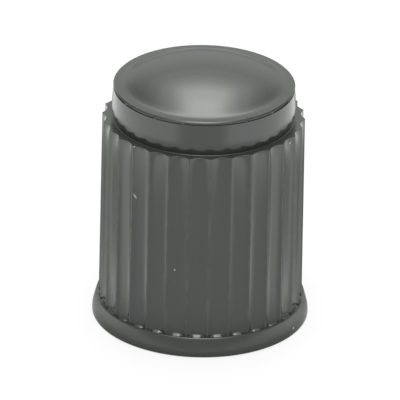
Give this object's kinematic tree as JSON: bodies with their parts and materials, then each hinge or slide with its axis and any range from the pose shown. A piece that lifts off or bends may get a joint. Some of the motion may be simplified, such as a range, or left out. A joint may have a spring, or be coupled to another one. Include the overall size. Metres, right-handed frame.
{
  "type": "tyre valve cap",
  "caption": "Small screw-on dust cap for a tyre valve: fluted cylindrical grip on a plain foot flange, flat ledge, smooth collar and shallow domed top, with a threaded blind bore.",
  "frame": {"origin": "centre of the open mouth, in the plane of the rim that the cap stands on", "axes": "+Z along the cap's axis, from the mouth to the dome; -Y faces the middle of a flute"},
  "size_m": [0.01, 0.01, 0.0126],
  "materials": {
    "moulded_plastic": "satin as moulded, dark grey"
  },
  "bodies": {
    "root": {"valve_cap": "moulded_plastic"}
  },
  "joints": []
}
